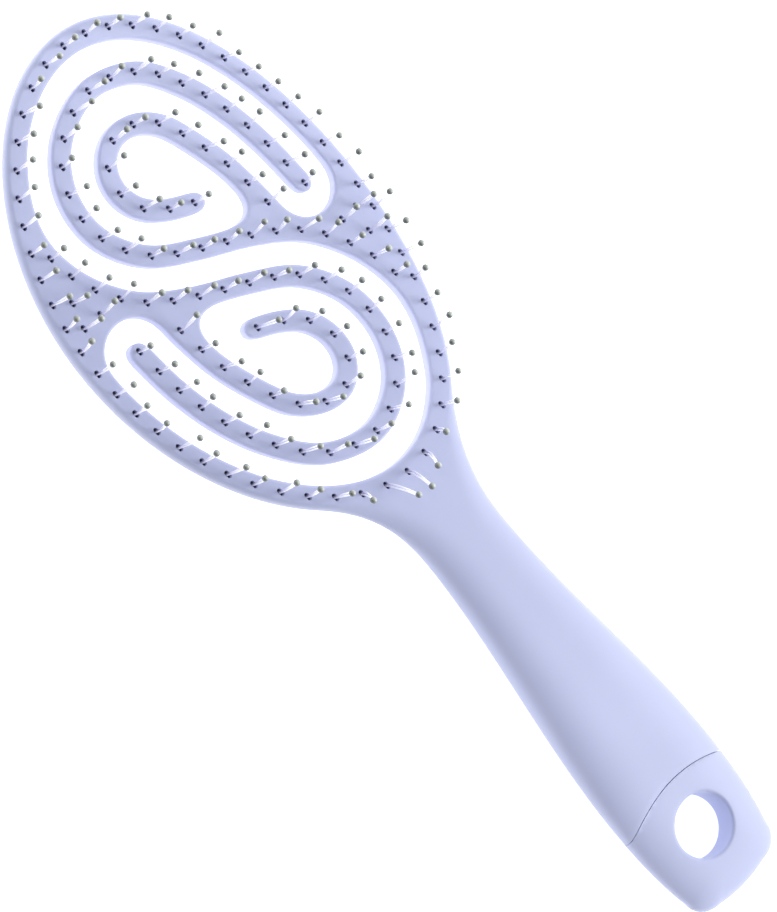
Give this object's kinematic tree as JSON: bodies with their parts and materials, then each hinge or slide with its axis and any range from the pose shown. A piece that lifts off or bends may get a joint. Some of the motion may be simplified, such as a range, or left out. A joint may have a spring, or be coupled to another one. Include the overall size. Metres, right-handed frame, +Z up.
{
  "type": "vent brush",
  "caption": "Oval vent brush: springy plate cut by an S-shaped vent, tufts of folded nylon with ball tips, and a hollow handle closed by a cap with a hanging hole.",
  "frame": {"origin": "under the middle of the brush's length and width, on the table it lies on", "axes": "+X along the brush towards the tip of the head, +Y across it, +Z up on the bristle side"},
  "size_m": [0.242, 0.0798, 0.0244],
  "materials": {
    "body_plastic": "soft-touch matte lilac",
    "nylon": "translucent white nylon strand",
    "ball_resin": "satin grey-green resin",
    "staple_metal": "flat steel wire"
  },
  "bodies": {
    "root": {"brush_body": "body_plastic", "end_cap": "body_plastic", "rim_bristles": "nylon", "outer_bar_bristles": "nylon", "inner_bar_bristles": "nylon", "fork_bristles": "nylon", "rim_ball_tips": "ball_resin", "outer_bar_ball_tips": "ball_resin", "inner_bar_ball_tips": "ball_resin", "fork_ball_tips": "ball_resin", "rim_staples": "staple_metal", "outer_bar_staples": "staple_metal", "inner_bar_staples": "staple_metal", "fork_staples": "staple_metal"}
  },
  "joints": []
}
